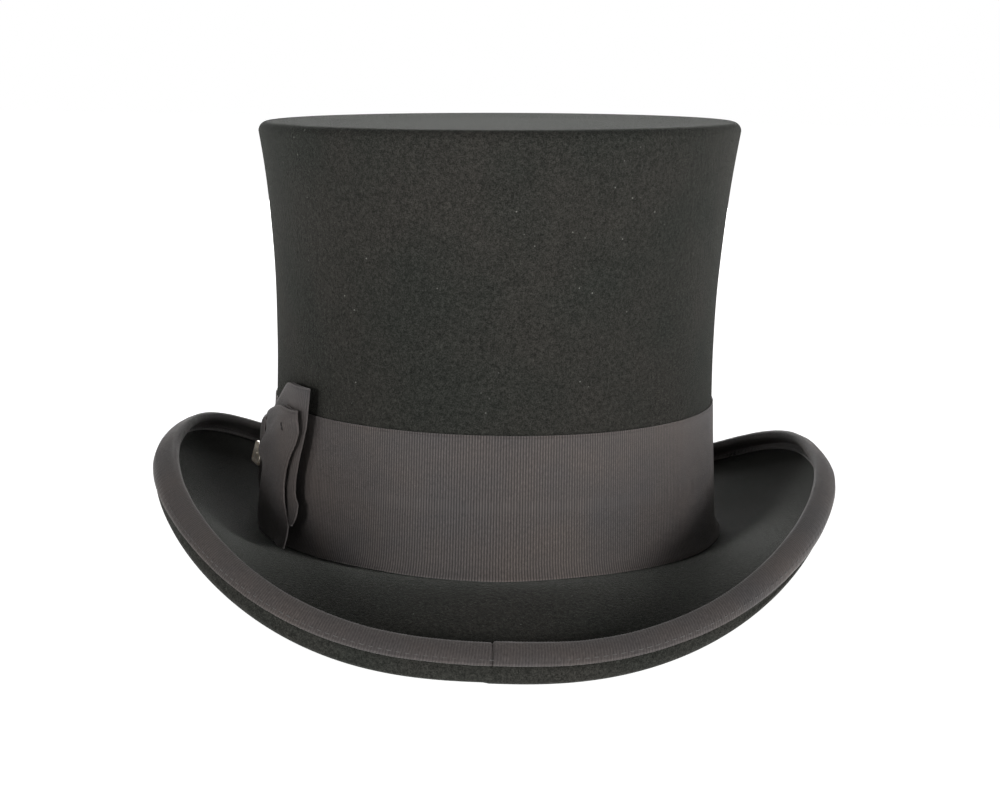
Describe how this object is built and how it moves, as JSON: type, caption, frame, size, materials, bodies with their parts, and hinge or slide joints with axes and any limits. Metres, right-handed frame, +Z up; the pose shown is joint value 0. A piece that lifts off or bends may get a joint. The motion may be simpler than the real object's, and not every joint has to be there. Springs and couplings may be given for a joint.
{
  "type": "top hat",
  "caption": "Felt top hat with a flared crown, a curled and ribbon-bound brim, a wide ribbon band with a side bow, and a leather and satin inside.",
  "frame": {"origin": "on the surface the brim stands on, under the middle of the crown", "axes": "+X towards the wearer's right, +Y towards the wearer's front, +Z up out of the crown's tip"},
  "size_m": [0.2611, 0.3372, 0.1775],
  "materials": {
    "wool_felt": "matt napped felt",
    "grosgrain": "ribbed ribbon with a low sheen",
    "black_thread": "matt",
    "pale_brass": "polished",
    "brown_leather": "satin",
    "black_satin": "glossy satin"
  },
  "bodies": {
    "root": {"felt_crown": "wool_felt", "felt_brim": "wool_felt", "crown_band": "grosgrain", "brim_binding": "grosgrain", "binding_thread_upper": "black_thread", "binding_thread_lower": "black_thread", "bow_back_hoop": "grosgrain", "bow_front_hoop": "grosgrain", "bow_knot": "grosgrain", "badge_pin": "pale_brass", "badge_clutch": "pale_brass", "sweatband": "brown_leather", "sweatband_reed": "black_thread", "sweatband_bow": "grosgrain", "lining_side": "black_satin", "lining_tip": "black_satin", "lining_piping": "black_satin"}
  },
  "joints": []
}
